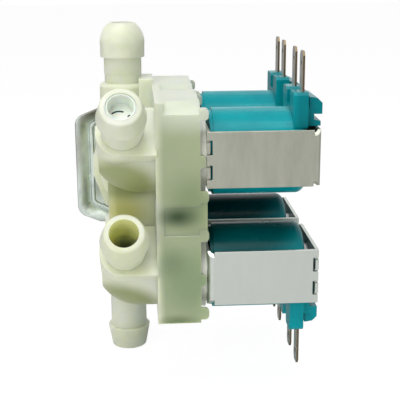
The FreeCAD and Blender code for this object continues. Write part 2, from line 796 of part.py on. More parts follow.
hook_under = size("hook_under", 14.4)
catch_proud = size("catch_proud", 0.8)
catch_gap = size("catch_gap", 0.2)
catch_height = size("catch_height", 1.7)
catch_right = yoke_right + catch_proud
catch_bottom = yoke_height / 2 + catch_gap
catch_top = catch_bottom + catch_height
hook_chamfer = size("hook_chamfer", 1.7)
hook_half = size("hook_half", 9.4)

chamber_plug = chamber_floor + diaphragm_rim
insert_left = seat_tip + diaphragm_web
plunger_left = insert_left + insert_thickness + pilot_rise + tip_seat_gap + tip_proud

for name, (y, z, turn) in valves.items():
    flipped = turn == 180

    # Rubber diaphragm: a rim on the ledge of the chamber, a thin web and a disc on the seat.
    diaphragm = place(new_body(f"{name}_rubber"), 0, y, z)
    turned(diaphragm, f"{name}_rubber_turn", [
        (chamber_floor, channel_radius - 0.3),
        (chamber_floor, chamber_radius - diaphragm_gap),
        (chamber_floor + diaphragm_rim, chamber_radius - diaphragm_gap),
        (chamber_floor + diaphragm_rim, chamber_radius - diaphragm_gap - diaphragm_rim_width),
        (seat_tip + diaphragm_web, chamber_radius - diaphragm_gap - diaphragm_rim_width),
        (seat_tip + diaphragm_web, pilot_radius + tip_gap),
        (seat_tip, pilot_radius + tip_gap),
        (seat_tip, channel_radius - 0.3)])
    keep(diaphragm, f"{name}_diaphragm")

    # Hard insert behind the rubber, with the pilot hole in its middle.
    insert = place(new_body(f"{name}_insert"), 0, y, z)
    turned(insert, f"{name}_insert_turn", [
        (seat_tip, pilot_hole),
        (seat_tip, pilot_radius),
        (insert_left, pilot_radius),
        (insert_left, insert_radius),
        (insert_left + insert_thickness, insert_radius),
        (insert_left + insert_thickness, pilot_radius),
        (insert_left + insert_thickness + pilot_rise, pilot_radius - 0.8),
        (insert_left + insert_thickness + pilot_rise, pilot_hole)])
    keep(insert, f"{name}_diaphragm_insert")

    # Bonnet: a ring presses the diaphragm's rim, a flange covers the housing and the tube guides the plunger.
    bonnet = place(new_body(f"{name}_cap"), 0, y, z)
    plug = chamber_radius - bonnet_plug_gap
    turned(bonnet, f"{name}_cap_turn", [
        (chamber_plug, plug),
        (chamber_plug, plug - bonnet_rim_width),
        (bonnet_roof, plug - bonnet_rim_width),
        (bonnet_roof, tube_radius - tube_wall),
        (tube_end - tube_cap, tube_radius - tube_wall),
        (tube_end - tube_cap, 0),
        (tube_end, 0),
        (tube_end, tube_radius),
        (yoke_left, tube_radius),
        (yoke_left, bonnet_flange_radius),
        (housing_right, bonnet_flange_radius),
        (housing_right, plug)])
    keep(bonnet, f"{name}_bonnet")

    # Plunger: a steel pin with a pocket for the rubber tip and a pocket for the spring.
    bar = tube_radius - tube_wall - running_gap
    plunger_right = plunger_left + plunger_length
    pin = place(new_body(f"{name}_pin"), 0, y, z)
    turned(pin, f"{name}_pin_turn", [
        (plunger_left, tip_radius + tip_gap),
        (plunger_left, bar - 0.6),
        (plunger_left + 0.6, bar),
        (plunger_right - 0.6, bar),
        (plunger_right, bar - 0.6),
        (plunger_right, 0),
        (plunger_left + tip_depth, 0),
        (plunger_left + tip_depth, tip_radius + tip_gap)])
    keep(pin, f"{name}_plunger")
    tip = place(new_body(f"{name}_tip"), 0, y, z)
    turned(tip, f"{name}_tip_turn", [
        (plunger_left - tip_proud, 0),
        (plunger_left - tip_proud, tip_radius),
        (plunger_left + tip_depth, tip_radius),
        (plunger_left + tip_depth, 0)])
    keep(tip, f"{name}_plunger_tip")

    # Return spring between the plunger and the closed end of the tube.
    helix = doc.addObject("Part::Helix", f"{name}_spring_path")
    length = tube_end - tube_cap - plunger_right - spring_wire
    helix.setExpression("Height", length.text)
    helix.setExpression("Pitch", f"{length.text} / {spring_turns.text}")
    helix.setExpression("Radius", spring_radius.text)
    wire = doc.addObject("Part::Circle", f"{name}_spring_wire")
    wire.setExpression("Radius", (spring_wire / 2).text)
    place(wire, spring_radius, 0, 0, axis=(1, 0, 0), turn=90)
    coil = doc.addObject("Part::Sweep", f"{name}_spring_sweep")
    coil.Sections = [wire]
    coil.Spine = (helix, [])
    coil.Solid = True
    coil.Frenet = True
    place(coil, plunger_right + spring_wire / 2, y, z, axis=(0, 1, 0), turn=90)
    keep(coil, f"{name}_spring")

    # Yoke: a strip bent round the coil, its open ends notched for the closing plate.
    yoke = new_body(f"{name}_strip")
    if flipped:
        place(yoke, yoke_right, y, z, axis=(0, 0, 1), turn=180)
    else:
        place(yoke, yoke_left, y, z)
    w = yoke_width / 2
    s = yoke_sheet
    r = yoke_bend
    section = outline(sketch_on(yoke, f"{name}_strip_section", "XY_Plane"), [
        (0, -w),
        (yoke_length - r, -w),
        (yoke_length, -w + r, r),
        (yoke_length, w - r),
        (yoke_length - r, w, r),
        (0, w),
        (0, w - s),
        (yoke_length - r, w - s),
        (yoke_length - s, w - r, s - r),
        (yoke_length - s, -w + r),
        (yoke_length - r, -w + s, s - r),
        (0, -w + s)])
    pad(yoke, f"{name}_strip_pad", section, yoke_height, both=True)
    corners = sketch_on(yoke, f"{name}_strip_corners", "YZ_Plane", yoke_length + overlap)
    half = yoke_height / 2
    for sy in (1, -1):
        for sz in (1, -1):
            path = [
                (w * sy + overlap * sy, half * sz + overlap * sz),
                (w * sy + overlap * sy, half * sz - yoke_corner * sz),
                (w * sy, half * sz - yoke_corner * sz),
                (w * sy - yoke_corner * sy, half * sz),
                (w * sy - yoke_corner * sy, half * sz + overlap * sz)]
            outline(corners, path)
    pocket(yoke, f"{name}_strip_corner_cut", corners, yoke_bend + overlap)
    notches = sketch_on(yoke, f"{name}_strip_notches", "XZ_Plane")
    for side in (1, -1):
        rise = tab_rise * side
        rectangle(notches, -overlap, rise - notch_height / 2, notch_depth, rise + notch_height / 2)
    pocket(yoke, f"{name}_strip_notch_cut", notches, both=True)
    hole = circle(sketch_on(yoke, f"{name}_strip_hole", "YZ_Plane"), 0, 0, tube_radius + tube_gap)
    pocket(yoke, f"{name}_strip_hole_cut", hole, back=True)
    keep(yoke, f"{name}_yoke")

    # Closing plate across the open end, with two tabs on each side staked in the notches.
    shut = new_body(f"{name}_shut")
    if flipped:
        place(shut, yoke_right, y, z, axis=(0, 0, 1), turn=180)
    else:
        place(shut, yoke_left, y, z)
    inner = w - s - plate_gap
    reach = w + tab_proud
    t = tab_height / 2
    section = outline(sketch_on(shut, f"{name}_shut_section", "YZ_Plane"), [
        (-inner, -half),
        (inner, -half),
        (inner, -tab_rise - t),
        (reach, -tab_rise - t),
        (reach, -tab_rise + t),
        (inner, -tab_rise + t),
        (inner, tab_rise - t),
        (reach, tab_rise - t),
        (reach, tab_rise + t),
        (inner, tab_rise + t),
        (inner, half),
        (-inner, half),
        (-inner, tab_rise + t),
        (-reach, tab_rise + t),
        (-reach, tab_rise - t),
        (-inner, tab_rise - t),
        (-inner, -tab_rise + t),
        (-reach, -tab_rise + t),
        (-reach, -tab_rise - t),
        (-inner, -tab_rise - t)])
    circle(section, 0, 0, tube_radius + tube_gap)
    pad(shut, f"{name}_shut_pad", section, s)
    keep(shut, f"{name}_yoke_plate")

    # Two steel bushings carry the flux from the yoke into the coil's bore.
    bush = place(new_body(f"{name}_bush"), 0, y, z)
    bush.AllowCompound = True
    ring_inner = tube_radius + bushing_gap
    ring_outer = coil_bore - bushing_gap
    first = yoke_left + s + 0.1
    last = yoke_right - s - 0.1
    sketch = sketch_on(bush, f"{name}_bush_outline", "XZ_Plane")
    rectangle(sketch, first, ring_inner, first + bushing_length, ring_outer)
    rectangle(sketch, last - bushing_length, ring_inner, last, ring_outer)
    feature = bush.newObject("PartDesign::Revolution", f"{name}_bush_turn")
    feature.Profile = sketch
    feature.ReferenceAxis = (sketch, ["H_Axis"])
    feature.Angle = 360
    keep(bush, f"{name}_flux_bushings")

    # Coil: a moulded drum with a terminal block, two towers and a hook over the yoke's end.
    drum = new_body(f"{name}_drum")
    place(drum, 0, y, z, turn=turn)
    turned(drum, f"{name}_drum_turn", [
        (coil_left, coil_bore),
        (coil_left, coil_radius - coil_left_inset),
        (coil_left + coil_left_step, coil_radius - coil_left_inset),
        (coil_left + coil_left_step, coil_radius),
        (coil_right - coil_round, coil_radius),
        (coil_right, coil_radius - coil_round, -coil_round),
        (coil_right, coil_bore)])
    saddle = sketch_on(drum, f"{name}_apron_outline", "XZ_Plane")
    root = coil_bore + coil_round
    outline(saddle, [
        (tower_left, root),
        (web_right - overlap * 2, root),
        (apron_right, catch_bottom),
        (catch_right, catch_bottom),
        (catch_right, catch_top),
        (apron_right, catch_top + 0.6),
        (apron_right, hook_under),
        (hook_right, hook_under),
        (hook_right, hook_top - hook_chamfer),
        (hook_right - hook_chamfer, hook_top),
        (apron_right - 1.2, apron_top),
        (web_right, apron_top),
        (web_right, web_top),
        (tower_left, web_top)])
    pad(drum, f"{name}_apron_pad", saddle, hook_half * 2, both=True)
    for side, word in ((1, "near"), (-1, "far")):
        tower = sketch_on(drum, f"{name}_{word}_tower_outline", "YZ_Plane", tower_left)
        mid = terminal_pitch / 2 * side
        outline(tower, [
            (mid - tower_width / 2, root),
            (mid + tower_width / 2, root),
            (mid + tower_width / 2, tower_top - tower_chamfer),
            (mid + tower_width / 2 - tower_chamfer, tower_top),
            (mid - tower_width / 2 + tower_chamfer, tower_top),
            (mid - tower_width / 2, tower_top - tower_chamfer)])
        pad(drum, f"{name}_{word}_tower", tower, tower_right - tower_left)
    slots = sketch_on(drum, f"{name}_blade_slots", "XY_Plane", blade_root - blade_gap)
    for side in (1, -1):
        mid = terminal_pitch / 2 * side
        rectangle(slots, blade_x - blade_thickness / 2 - blade_gap, mid - blade_width / 2 - blade_gap,
                  blade_x + blade_thickness / 2 + blade_gap, mid + blade_width / 2 + blade_gap)
    pocket(drum, f"{name}_blade_slot_cut", slots, tower_top, back=True)
    hollow_start = coil_left + winding_margin - winding_gap
    hollow_end = coil_right - winding_margin + winding_gap
    hollow = sketch_on(drum, f"{name}_winding_space", "XZ_Plane")
    rectangle(hollow, hollow_start, winding_inner - winding_gap, hollow_end, winding_outer + winding_gap)
    doc.recompute()
    groove = drum.newObject("PartDesign::Groove", f"{name}_winding_groove")
    groove.Profile = hollow
    groove.ReferenceAxis = (hollow, ["H_Axis"])
    groove.Angle = 360
    keep(drum, f"{name}_coil")

    copper = place(new_body(f"{name}_copper"), 0, y, z)
    turned(copper, f"{name}_copper_turn", [
        (coil_left + winding_margin, winding_inner),
        (coil_left + winding_margin, winding_outer),
        (coil_right - winding_margin, winding_outer),
        (coil_right - winding_margin, winding_inner)])
    keep(copper, f"{name}_winding")

    # Two blade terminals, each with a tapered tip and a hole for the connector's latch.
    blades = new_body(f"{name}_blades")
    place(blades, 0, y, z, turn=turn)
    blades.AllowCompound = True
    sketch = sketch_on(blades, f"{name}_blade_outline", "YZ_Plane", blade_x - blade_thickness / 2)
    for side in (1, -1):
        mid = terminal_pitch / 2 * side
        outline(sketch, [
            (mid - blade_width / 2, blade_root),
            (mid + blade_width / 2, blade_root),
            (mid + blade_width / 2, blade_shoulder),
            (mid + blade_tip_half, blade_tip),
            (mid - blade_tip_half, blade_tip),
            (mid - blade_width / 2, blade_shoulder)])
        circle(sketch, mid, blade_hole_rise, blade_hole_radius)
    pad(blades, f"{name}_blade_pad", sketch, blade_thickness)
    keep(blades, f"{name}_terminals")

doc.recompute()
broken = [item.Name for item in doc.Objects if "Invalid" in item.State or "Error" in item.State]
if broken:
    raise RuntimeError(f"not built: {broken}")
for node in nodes:
    if node.Shape.isNull() or not node.Shape.isValid():
        raise RuntimeError(f"{node.Label} has no valid shape")
os.makedirs("parts", exist_ok=True)
for node in nodes:
    node.Shape.exportStep(f"parts/{node.Label}.step")
    print(node.Label, len(node.Shape.Solids), round(node.Shape.Volume, 1))
print(len(nodes), "pieces")
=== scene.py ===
import bmesh
import bpy
import math
from mathutils import Matrix, Vector


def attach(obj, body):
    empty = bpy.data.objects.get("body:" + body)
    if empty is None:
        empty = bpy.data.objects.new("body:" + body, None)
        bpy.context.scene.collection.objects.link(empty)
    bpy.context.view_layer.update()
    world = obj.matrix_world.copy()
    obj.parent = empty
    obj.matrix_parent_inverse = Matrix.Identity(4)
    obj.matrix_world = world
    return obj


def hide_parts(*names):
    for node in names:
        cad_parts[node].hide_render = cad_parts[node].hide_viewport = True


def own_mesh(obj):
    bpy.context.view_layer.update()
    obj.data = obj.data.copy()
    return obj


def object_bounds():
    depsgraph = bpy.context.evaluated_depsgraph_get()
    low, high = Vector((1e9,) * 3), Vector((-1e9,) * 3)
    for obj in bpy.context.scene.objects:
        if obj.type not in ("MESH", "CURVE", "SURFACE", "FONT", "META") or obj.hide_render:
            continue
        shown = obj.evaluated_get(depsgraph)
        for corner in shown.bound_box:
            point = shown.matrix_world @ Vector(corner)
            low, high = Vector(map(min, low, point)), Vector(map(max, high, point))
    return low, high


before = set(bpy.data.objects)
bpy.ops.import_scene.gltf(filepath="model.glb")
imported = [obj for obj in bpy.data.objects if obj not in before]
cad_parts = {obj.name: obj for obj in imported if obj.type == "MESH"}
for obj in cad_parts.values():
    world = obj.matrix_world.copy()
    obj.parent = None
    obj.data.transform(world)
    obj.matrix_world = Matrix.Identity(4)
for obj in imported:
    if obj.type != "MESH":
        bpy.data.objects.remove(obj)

cad_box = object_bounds()

# Camera: in front of the valve and a little above it, where the photograph was taken from.
# Screen colours are kept as they are, with no film curve.
lens_pitch, lens_roll, lens_yaw = 14.61, 0.29, -3.88
camera_data = bpy.data.cameras.new("camera")
camera_data.sensor_width = 36
camera_data.lens = 83.65
camera_data.clip_start = 0.01
camera = bpy.data.objects.new("camera", camera_data)
camera.location = (0.00426, -0.41152, 0.0893)
camera.rotation_euler = (math.radians(90 - lens_pitch), math.radians(lens_roll), math.radians(lens_yaw))
bpy.context.scene.collection.objects.link(camera)
bpy.context.scene.camera = camera
bpy.context.scene.view_settings.view_transform = "Standard"


# Studio: a white surround, a large soft lamp above and in front, and weaker ones at the sides.
# The surround is white to the camera and in reflections, and dim as a light.
def area_lamp(name, place, width, power):
    """A square soft lamp that points at the middle of the valve."""
    data = bpy.data.lights.new(name, "AREA")
    data.shape = "SQUARE"
    data.size = width
    data.energy = power
    lamp = bpy.data.objects.new(name, data)
    lamp.location = place
    lamp.rotation_euler = (Vector(valve_middle) - Vector(place)).to_track_quat("-Z", "Y").to_euler()
    bpy.context.scene.collection.objects.link(lamp)


valve_middle = (0.025, -0.06, 0.0)
area_lamp("top_lamp", (-0.08, -0.24, 0.62), width=0.50, power=3.0)
area_lamp("front_lamp", (-0.30, -0.62, 0.22), width=0.40, power=1.25)
area_lamp("right_lamp", (0.55, -0.30, 0.16), width=0.35, power=0.5)

surround_as_light, surround_as_seen = 0.26, 1.0
world = bpy.data.worlds.new("surround")
bpy.context.scene.world = world
world.use_nodes = True
tree = world.node_tree
tree.nodes.clear()
path = tree.nodes.new("ShaderNodeLightPath")
camera_or_gloss = tree.nodes.new("ShaderNodeMath")
camera_or_gloss.operation = "MAXIMUM"
seen = tree.nodes.new("ShaderNodeMath")
seen.operation = "MAXIMUM"
strength = tree.nodes.new("ShaderNodeMapRange")
strength.inputs["To Min"].default_value = surround_as_light
strength.inputs["To Max"].default_value = surround_as_seen
background = tree.nodes.new("ShaderNodeBackground")
background.inputs["Color"].default_value = (1, 1, 1, 1)
output = tree.nodes.new("ShaderNodeOutputWorld")
tree.links.new(path.outputs["Is Camera Ray"], camera_or_gloss.inputs[0])
tree.links.new(path.outputs["Is Glossy Ray"], camera_or_gloss.inputs[1])
tree.links.new(camera_or_gloss.outputs[0], seen.inputs[0])
tree.links.new(path.outputs["Is Transmission Ray"], seen.inputs[1])
tree.links.new(seen.outputs[0], strength.inputs["Value"])
tree.links.new(strength.outputs["Result"], background.inputs["Strength"])
tree.links.new(background.outputs["Background"], output.inputs["Surface"])

# Floor: a wide pale sheet just under the lowest outlet. It glows towards the camera, so that only
# a faint shadow of the valve is left on it.
floor_half_width, floor_gap = 3.0, 0.0006
floor_white = (0.92, 0.92, 0.92, 1)
glow_strength, glow_share = 1.12, 0.84
bm = bmesh.new()
bmesh.ops.create_grid(bm, x_segments=1, y_segments=1, size=floor_half_width,
                      matrix=Matrix.Translation((0, 0, cad_box[0][2] - floor_gap)))
floor_mesh = bpy.data.meshes.new("floor")
bm.to_mesh(floor_mesh)
bm.free()
floor = bpy.data.objects.new("floor", floor_mesh)
bpy.context.scene.collection.objects.link(floor)
floor_material = bpy.data.materials.new("floor_white")
floor_material.use_nodes = True
tree = floor_material.node_tree
tree.nodes.clear()
diffuse = tree.nodes.new("ShaderNodeBsdfDiffuse")
diffuse.inputs["Color"].default_value = floor_white
glow = tree.nodes.new("ShaderNodeEmission")
glow.inputs["Strength"].default_value = glow_strength
path = tree.nodes.new("ShaderNodeLightPath")
amount = tree.nodes.new("ShaderNodeMapRange")
amount.inputs["To Min"].default_value = 0.0
amount.inputs["To Max"].default_value = glow_share
mix = tree.nodes.new("ShaderNodeMixShader")
output = tree.nodes.new("ShaderNodeOutputMaterial")
tree.links.new(path.outputs["Is Camera Ray"], amount.inputs["Value"])
tree.links.new(amount.outputs["Result"], mix.inputs["Fac"])
tree.links.new(diffuse.outputs["BSDF"], mix.inputs[1])
tree.links.new(glow.outputs["Emission"], mix.inputs[2])
tree.links.new(mix.outputs["Shader"], output.inputs["Surface"])
floor.data.materials.append(floor_material)


# Valve body: one moulding of natural, slightly translucent plastic, cloudy inside and yellow-green, with
# painted shade that darkens it to olive where it lies in shadow. Its threaded spigot passes through the
# bracket.
def srgb(red, green, blue):
    """A colour read as 0 to 255 on a screen, as the shader takes it."""
    return tuple((c / 255 / 12.92) if c / 255 <= 0.04045 else ((c / 255 + 0.055) / 1.055) ** 2.4
                 for c in (red, green, blue)) + (1.0,)


def new_group(name, inputs, outputs):
    """An empty shader group with named sockets."""
    group = bpy.data.node_groups.new(name, "ShaderNodeTree")
    for label, kind, value in inputs:
        socket = group.interface.new_socket(label, in_out="INPUT", socket_type=kind)
        if value is not None:
            socket.default_value = value
    for label, kind in outputs:
        group.interface.new_socket(label, in_out="OUTPUT", socket_type=kind)
    return group, group.nodes.new("NodeGroupInput"), group.nodes.new("NodeGroupOutput")


def stretched_noise(group, given, detail, roughness):
    """Noise on the piece's own coordinates, scaled and stretched by the group's sockets."""
    coordinates = group.nodes.new("ShaderNodeTexCoord")
    stretch = group.nodes.new("ShaderNodeVectorMath")
    stretch.operation = "MULTIPLY"
    noise = group.nodes.new("ShaderNodeTexNoise")
    noise.inputs["Detail"].default_value = detail
    noise.inputs["Roughness"].default_value = roughness
    group.links.new(coordinates.outputs["Object"], stretch.inputs[0])
    group.links.new(given.outputs["Stretch"], stretch.inputs[1])
    group.links.new(stretch.outputs["Vector"], noise.inputs["Vector"])
    group.links.new(given.outputs["Scale"], noise.inputs["Scale"])
    return noise


def cloud_group():
    """Slow clouds between two tones, as in unpigmented plastic or on unevenly marked plating."""
    group, given, out = new_group(
        "clouds",
        [("Light", "NodeSocketColor", None), ("Dark", "NodeSocketColor", None),
         ("Scale", "NodeSocketFloat", 60.0), ("Low", "NodeSocketFloat", 0.35),
         ("High", "NodeSocketFloat", 0.65), ("Stretch", "NodeSocketVector", (1.0, 1.0, 1.0))],
        [("Colour", "NodeSocketColor"), ("Mask", "NodeSocketFloat")])
    noise = stretched_noise(group, given, detail=4.0, roughness=0.55)
    spread = group.nodes.new("ShaderNodeMapRange")
    blend = group.nodes.new("ShaderNodeMix")
    blend.data_type = "RGBA"
    links = group.links
    links.new(noise.outputs["Fac"], spread.inputs["Value"])
    links.new(given.outputs["Low"], spread.inputs["From Min"])
    links.new(given.outputs["High"], spread.inputs["From Max"])
    links.new(spread.outputs["Result"], blend.inputs["Factor"])
    links.new(given.outputs["Light"], blend.inputs["A"])
    links.new(given.outputs["Dark"], blend.inputs["B"])
    links.new(blend.outputs["Result"], out.inputs["Colour"])
    links.new(spread.outputs["Result"], out.inputs["Mask"])
    return group


def grain_group():
    """Fine moulded or rolled grain as a normal."""
    group, given, out = new_group(
        "grain",
        [("Scale", "NodeSocketFloat", 900.0), ("Strength", "NodeSocketFloat", 0.1),
         ("Depth", "NodeSocketFloat", 0.0001), ("Stretch", "NodeSocketVector", (1.0, 1.0, 1.0))],
        [("Normal", "NodeSocketVector"), ("Height", "NodeSocketFloat")])
    noise = stretched_noise(group, given, detail=3.0, roughness=0.5)
    bump = group.nodes.new("ShaderNodeBump")
    links = group.links
    links.new(noise.outputs["Fac"], bump.inputs["Height"])
    links.new(given.outputs["Strength"], bump.inputs["Strength"])
    links.new(given.outputs["Depth"], bump.inputs["Distance"])
    links.new(bump.outputs["Normal"], out.inputs["Normal"])
    links.new(noise.outputs["Fac"], out.inputs["Height"])
    return group


def spot_group():
    """A soft oval of another colour round a point: painted shade or painted light in most places, and a
    tint where dark material lies behind the surface.
    """
    group, given, out = new_group(
        "spot",
        [("Colour", "NodeSocketColor", None), ("Tint and painted light", "NodeSocketColor", None),
         ("Centre", "NodeSocketVector", (0.0, 0.0, 0.0)), ("Size", "NodeSocketVector", (0.01, 0.01, 0.01)),
         ("Edge", "NodeSocketFloat", 0.5), ("Amount", "NodeSocketFloat", 1.0)],
        [("Colour", "NodeSocketColor"), ("Mask", "NodeSocketFloat")])
    coordinates = group.nodes.new("ShaderNodeTexCoord")
    away = group.nodes.new("ShaderNodeVectorMath")
    away.operation = "SUBTRACT"
    scaled = group.nodes.new("ShaderNodeVectorMath")
    scaled.operation = "DIVIDE"
    length = group.nodes.new("ShaderNodeVectorMath")
    length.operation = "LENGTH"
    fall = group.nodes.new("ShaderNodeMapRange")
    fall.interpolation_type = "SMOOTHSTEP"
    fall.inputs["From Max"].default_value = 1.0
    fall.inputs["To Max"].default_value = 0.0
    blend = group.nodes.new("ShaderNodeMix")
    blend.data_type = "RGBA"
    links = group.links
    links.new(coordinates.outputs["Object"], away.inputs[0])
    links.new(given.outputs["Centre"], away.inputs[1])
    links.new(away.outputs["Vector"], scaled.inputs[0])
    links.new(given.outputs["Size"], scaled.inputs[1])
    links.new(scaled.outputs["Vector"], length.inputs[0])
    links.new(length.outputs["Value"], fall.inputs["Value"])
    links.new(given.outputs["Edge"], fall.inputs["From Min"])
    links.new(given.outputs["Amount"], fall.inputs["To Min"])
    links.new(fall.outputs["Result"], blend.inputs["Factor"])
    links.new(given.outputs["Colour"], blend.inputs["A"])
    links.new(given.outputs["Tint and painted light"], blend.inputs["B"])
    links.new(blend.outputs["Result"], out.inputs["Colour"])
    links.new(fall.outputs["Result"], out.inputs["Mask"])
    return group


clouds = cloud_group()
grain = grain_group()
spot = spot_group()


def new_material(name, roughness, metallic=0.0):
    """A material with its shader, ready for colour and grain."""
    material = bpy.data.materials.new(name)
    material.use_nodes = True
    shader = material.node_tree.nodes["Principled BSDF"]
    shader.inputs["Roughness"].default_value = roughness
    shader.inputs["Metallic"].default_value = metallic
    return material, shader


def place_group(material, group, values):
    """Puts a shared group in a material with its own values."""
    node = material.node_tree.nodes.new("ShaderNodeGroup")
    node.node_tree = group
    for label, value in values.items():
        node.inputs[label].default_value = value
    return node


def cloudy(material, shader, light, dark, scale, low=0.35, high=0.65, stretch=(1.0, 1.0, 1.0), rough=None):
    """Two clouded tones as the colour, and where rough is given, a duller finish in the darker one."""
    node = place_group(material, clouds, {"Light": light, "Dark": dark, "Scale": scale, "Low": low,
                                          "High": high, "Stretch": stretch})
    material.node_tree.links.new(node.outputs["Colour"], shader.inputs["Base Color"])
    if rough:
        dull = material.node_tree.nodes.new("ShaderNodeMapRange")
        dull.inputs["To Min"].default_value, dull.inputs["To Max"].default_value = rough
        material.node_tree.links.new(node.outputs["Mask"], dull.inputs["Value"])
        material.node_tree.links.new(dull.outputs["Result"], shader.inputs["Roughness"])
    return node


def paint_spot_tint_and_light(material, shader, centre, size, tint_and_painted_light, edge=0.5, amount=1.0):
    """Lays one soft spot of tint, painted shade or painted light over whatever colour the material has so
    far; places are in millimetres.
    """
    node = place_group(material, spot, {"Centre": [place / 1000 for place in centre],
                                        "Size": [reach / 1000 for reach in size],
                                        "Tint and painted light": tint_and_painted_light, "Edge": edge, "Amount": amount})
    socket = shader.inputs["Base Color"]
    material.node_tree.links.new(socket.links[0].from_socket, node.inputs["Colour"])
    material.node_tree.links.new(node.outputs["Colour"], socket)


def grained(material, shader, scale, strength, stretch=(1.0, 1.0, 1.0)):
    """Gives a material's surface its fine grain."""
    node = place_group(material, grain, {"Scale": scale, "Strength": strength, "Stretch": stretch})
    material.node_tree.links.new(node.outputs["Normal"], shader.inputs["Normal"])


def place_piece(name, mesh, material):
    """Makes a finished mesh a piece of the valve, smooth except at its sharp edges."""
    mesh.shade_smooth()
    mesh.set_sharp_from_angle(angle=math.radians(35))
    mesh.materials.clear()
    mesh.materials.append(material)
    piece = bpy.data.objects.new(name, mesh)
    bpy.context.scene.collection.objects.link(piece)
    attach(piece, "valve")
    return piece


def merged_copy(name, material, flatten=True):
    """A copy of a CAD piece in its place, its triangles merged and, if asked, its flat faces made whole."""
    bm = bmesh.new()
    bm.from_mesh(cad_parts[name].data)
    bmesh.ops.remove_doubles(bm, verts=bm.verts, dist=2e-6)
    if flatten:
        bmesh.ops.dissolve_limit(bm, angle_limit=math.radians(0.8), verts=bm.verts, edges=bm.edges)
    mesh = bpy.data.meshes.new(name + "_soft")
    bm.to_mesh(mesh)
    bm.free()
    piece = place_piece(name + "_soft", mesh, material)
    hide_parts(name)
    return piece


def break_edges(piece, width):
    """Breaks a piece's sharp edges, as moulding or pressing leaves them."""
    edges = piece.modifiers.new("broken_edges", "BEVEL")
    edges.width = width
    edges.segments = 2
    edges.limit_method = "ANGLE"
    edges.angle_limit = math.radians(38)
    edges.use_clamp_overlap = True
    edges.harden_normals = True


def full_turn(bm, sides, steps):
    """Joins the corners of a profile in pairs and spins it once round the Z axis."""
    for first, second in sides:
        bm.edges.new((first, second))
    bmesh.ops.spin(bm, geom=list(bm.verts) + list(bm.edges), cent=(0, 0, 0), axis=(0, 0, 1), dvec=(0, 0, 0),
                   angle=math.radians(360), steps=steps, use_merge=True, use_normal_flip=False,
                   use_duplicate=False)


def close_ends(bm):
    """Closes the open ends of a swept or cut shape."""
    bmesh.ops.holes_fill(bm, edges=[edge for edge in bm.edges if edge.is_boundary], sides=0)


def merge_and_face_out(bm):
    """Merges what a spin or a sweep left double and turns every face outwards."""
    bmesh.ops.remove_doubles(bm, verts=bm.verts, dist=1e-6)
    bmesh.ops.recalc_face_normals(bm, faces=bm.faces)


def cut_away(piece, bm):
    """Takes a shape away from a piece's own mesh and leaves nothing of the cutter."""
    merge_and_face_out(bm)
    mesh = bpy.data.meshes.new("cutter")
    bm.to_mesh(mesh)
    bm.free()
    cutter = bpy.data.objects.new("cutter", mesh)
    bpy.context.scene.collection.objects.link(cutter)
    cut = piece.modifiers.new("cut", "BOOLEAN")
    cut.object = cutter
    cut.operation = "DIFFERENCE"
    cut.solver = "EXACT"
    graph = bpy.context.evaluated_depsgraph_get()
    piece.data = bpy.data.meshes.new_from_object(piece.evaluated_get(graph), depsgraph=graph)
    piece.modifiers.remove(cut)
    bpy.data.objects.remove(cutter)


def on_front_outlet(height, reach):
    """A place on the axis of the front outlet that starts at a height, in millimetres."""
    return (outlet_x, outlet_y - reach * math.sin(outlet_tilt), height + reach * math.cos(outlet_tilt))


front_row, back_row = -82.0, -40.0
upper_axis, lower_axis = 21.6, -21.6
outlet_x, outlet_y, outlet_tilt = -1.5, -82.05, math.radians(52)
natural, shader = new_material("natural_plastic", roughness=0.36)
cloudy(natural, shader, srgb(230, 233, 214), srgb(213, 218, 190), scale=45.0, rough=(0.28, 0.40))
# The housings are greener than the bosses. Painted shade darkens them most between the upper and the lower
# ones and darkens the lower housings, and a painted highlight makes the upper ones pale on top. Painted
# shade makes the bosses yellow-green underneath.
paint_spot_tint_and_light(natural, shader, (60, -61, 0), (51.4, 400, 400), srgb(172, 183, 148), edge=0.92, amount=1.0)
for row in (front_row, back_row):
    paint_spot_tint_and_light(natural, shader, (22, row, 6), (14, 60, 17), srgb(138, 154, 112), edge=0.15, amount=0.9)
    paint_spot_tint_and_light(natural, shader, (22, row, -22), (15, 60, 18), srgb(142, 162, 124), edge=0.3, amount=0.95)
    paint_spot_tint_and_light(natural, shader, (-2, row, 12.5), (16, 36, 12.5), srgb(152, 161, 104), edge=0.55, amount=0.9)
    paint_spot_tint_and_light(natural, shader, (-2, row, -33), (16, 36, 12.0), srgb(148, 157, 108), edge=0.55, amount=0.95)
    paint_spot_tint_and_light(natural, shader, (22, row, 39), (32, 60, 11), srgb(218, 224, 208), edge=0.2, amount=0.85)
# At the front, painted shade makes the feed block yellow between the bosses, a painted shadow makes the web
# deep green with painted shade just below it, and the lower housing's foot is painted darker green towards
# the bottom.
paint_spot_tint_and_light(natural, shader, (-2, -86, -1), (13, 20, 9), srgb(196, 196, 118), edge=0.3, amount=0.9)
paint_spot_tint_and_light(natural, shader, (17.2, -98, 1.6), (10.5, 10, 5.8), srgb(30, 64, 14), edge=0.0, amount=0.95)
paint_spot_tint_and_light(natural, shader, (15, -98, -15), (8, 12, 9), srgb(118, 138, 102), edge=0.0, amount=0.7)
paint_spot_tint_and_light(natural, shader, (17, -92, -37.5), (11, 20, 4), srgb(88, 110, 66), edge=0.1, amount=0.85)
# Painted shade darkens the upper front outlet's bore, and a painted glow brightens the lower one where
# light would pass its wall.
for reach in (14, 19):
    paint_spot_tint_and_light(natural, shader, on_front_outlet(upper_axis, reach), (5.6, 5.6, 5.6),
            srgb(26, 28, 18), edge=0.7)
for reach in (21, 26, 31):
    paint_spot_tint_and_light(natural, shader, on_front_outlet(lower_axis, reach), (6.3, 6.3, 6.3),
            srgb(246, 250, 196), edge=0.85)
grained(natural, shader, scale=700.0, strength=0.10)
shader.inputs["Subsurface Weight"].default_value = 0.75
shader.inputs["Subsurface Radius"].default_value = (1.0, 0.95, 0.5)
shader.inputs["Subsurface Scale"].default_value = 0.005
moulding = merged_copy("valve_body", natural)
